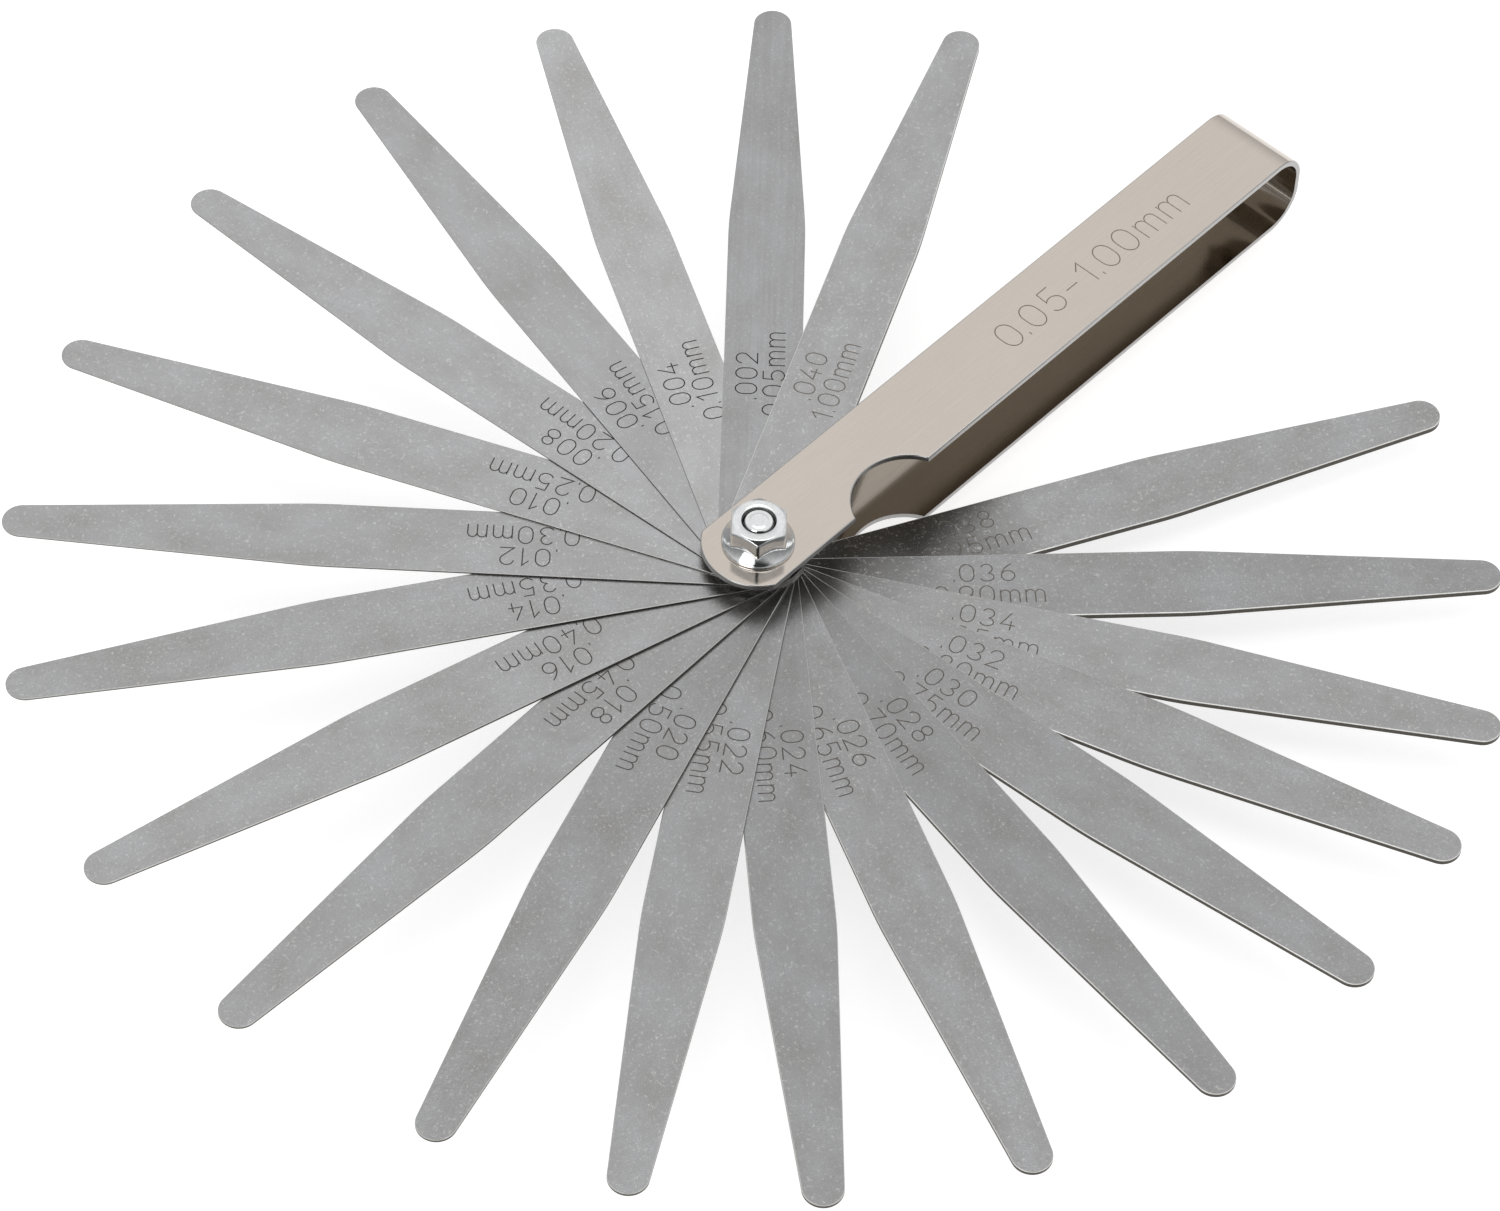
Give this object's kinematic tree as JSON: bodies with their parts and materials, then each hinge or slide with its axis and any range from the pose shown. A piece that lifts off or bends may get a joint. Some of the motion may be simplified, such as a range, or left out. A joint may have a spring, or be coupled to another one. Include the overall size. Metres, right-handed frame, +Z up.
{
  "type": "feeler gauge",
  "caption": "Thickness gauge with tapered steel leaves fanned out on one clamped pivot, in a folded U-shaped steel holder with a thumb notch.",
  "frame": {"origin": "middle of the pivot bolt head's flat underside, on the pivot axis", "axes": "+Z up the pivot axis towards the nut, +X along the holder from the pivot to the loop, +Y across the holder away from the thumb notch"},
  "size_m": [0.1932, 0.1876, 0.0192],
  "materials": {
    "holder_nickel": "satin nickel plate, grain along the strip",
    "bright_zinc": "bright zinc plate",
    "spring_steel": "hardened and ground spring steel, fine satin"
  },
  "bodies": {
    "frame": {"holder": "holder_nickel", "bolt": "bright_zinc", "flange_nut": "bright_zinc"},
    "leaf_100": {"leaf_100": "spring_steel"},
    "leaf_005": {"leaf_005": "spring_steel"},
    "leaf_010": {"leaf_010": "spring_steel"},
    "leaf_015": {"leaf_015": "spring_steel"},
    "leaf_020": {"leaf_020": "spring_steel"},
    "leaf_025": {"leaf_025": "spring_steel"},
    "leaf_030": {"leaf_030": "spring_steel"},
    "leaf_035": {"leaf_035": "spring_steel"},
    "leaf_040": {"leaf_040": "spring_steel"},
    "leaf_045": {"leaf_045": "spring_steel"},
    "leaf_050": {"leaf_050": "spring_steel"},
    "leaf_055": {"leaf_055": "spring_steel"},
    "leaf_060": {"leaf_060": "spring_steel"},
    "leaf_065": {"leaf_065": "spring_steel"},
    "leaf_070": {"leaf_070": "spring_steel"},
    "leaf_075": {"leaf_075": "spring_steel"},
    "leaf_080": {"leaf_080": "spring_steel"},
    "leaf_085": {"leaf_085": "spring_steel"},
    "leaf_090": {"leaf_090": "spring_steel"},
    "leaf_095": {"leaf_095": "spring_steel"}
  },
  "joints": [
    {"name": "leaf_100_swing", "type": "hinge", "parent": "frame", "child": "leaf_100", "pos_m": [0, 0, 0.00962], "axis": [0, 0, 1], "continuous": true},
    {"name": "leaf_005_swing", "type": "hinge", "parent": "frame", "child": "leaf_005", "pos_m": [0, 0, 0.00962], "axis": [0, 0, 1], "continuous": true},
    {"name": "leaf_010_swing", "type": "hinge", "parent": "frame", "child": "leaf_010", "pos_m": [0, 0, 0.00962], "axis": [0, 0, 1], "continuous": true},
    {"name": "leaf_015_swing", "type": "hinge", "parent": "frame", "child": "leaf_015", "pos_m": [0, 0, 0.00962], "axis": [0, 0, 1], "continuous": true},
    {"name": "leaf_020_swing", "type": "hinge", "parent": "frame", "child": "leaf_020", "pos_m": [0, 0, 0.00962], "axis": [0, 0, 1], "continuous": true},
    {"name": "leaf_025_swing", "type": "hinge", "parent": "frame", "child": "leaf_025", "pos_m": [0, 0, 0.00962], "axis": [0, 0, 1], "continuous": true},
    {"name": "leaf_030_swing", "type": "hinge", "parent": "frame", "child": "leaf_030", "pos_m": [0, 0, 0.00962], "axis": [0, 0, 1], "continuous": true},
    {"name": "leaf_035_swing", "type": "hinge", "parent": "frame", "child": "leaf_035", "pos_m": [0, 0, 0.00962], "axis": [0, 0, 1], "continuous": true},
    {"name": "leaf_040_swing", "type": "hinge", "parent": "frame", "child": "leaf_040", "pos_m": [0, 0, 0.00962], "axis": [0, 0, 1], "continuous": true},
    {"name": "leaf_045_swing", "type": "hinge", "parent": "frame", "child": "leaf_045", "pos_m": [0, 0, 0.00962], "axis": [0, 0, 1], "continuous": true},
    {"name": "leaf_050_swing", "type": "hinge", "parent": "frame", "child": "leaf_050", "pos_m": [0, 0, 0.00962], "axis": [0, 0, 1], "continuous": true},
    {"name": "leaf_055_swing", "type": "hinge", "parent": "frame", "child": "leaf_055", "pos_m": [0, 0, 0.00962], "axis": [0, 0, 1], "continuous": true},
    {"name": "leaf_060_swing", "type": "hinge", "parent": "frame", "child": "leaf_060", "pos_m": [0, 0, 0.00962], "axis": [0, 0, 1], "continuous": true},
    {"name": "leaf_065_swing", "type": "hinge", "parent": "frame", "child": "leaf_065", "pos_m": [0, 0, 0.00962], "axis": [0, 0, 1], "continuous": true},
    {"name": "leaf_070_swing", "type": "hinge", "parent": "frame", "child": "leaf_070", "pos_m": [0, 0, 0.00962], "axis": [0, 0, 1], "continuous": true},
    {"name": "leaf_075_swing", "type": "hinge", "parent": "frame", "child": "leaf_075", "pos_m": [0, 0, 0.00962], "axis": [0, 0, 1], "continuous": true},
    {"name": "leaf_080_swing", "type": "hinge", "parent": "frame", "child": "leaf_080", "pos_m": [0, 0, 0.00962], "axis": [0, 0, 1], "continuous": true},
    {"name": "leaf_085_swing", "type": "hinge", "parent": "frame", "child": "leaf_085", "pos_m": [0, 0, 0.00962], "axis": [0, 0, 1], "continuous": true},
    {"name": "leaf_090_swing", "type": "hinge", "parent": "frame", "child": "leaf_090", "pos_m": [0, 0, 0.00962], "axis": [0, 0, 1], "continuous": true},
    {"name": "leaf_095_swing", "type": "hinge", "parent": "frame", "child": "leaf_095", "pos_m": [0, 0, 0.00962], "axis": [0, 0, 1], "continuous": true}
  ]
}
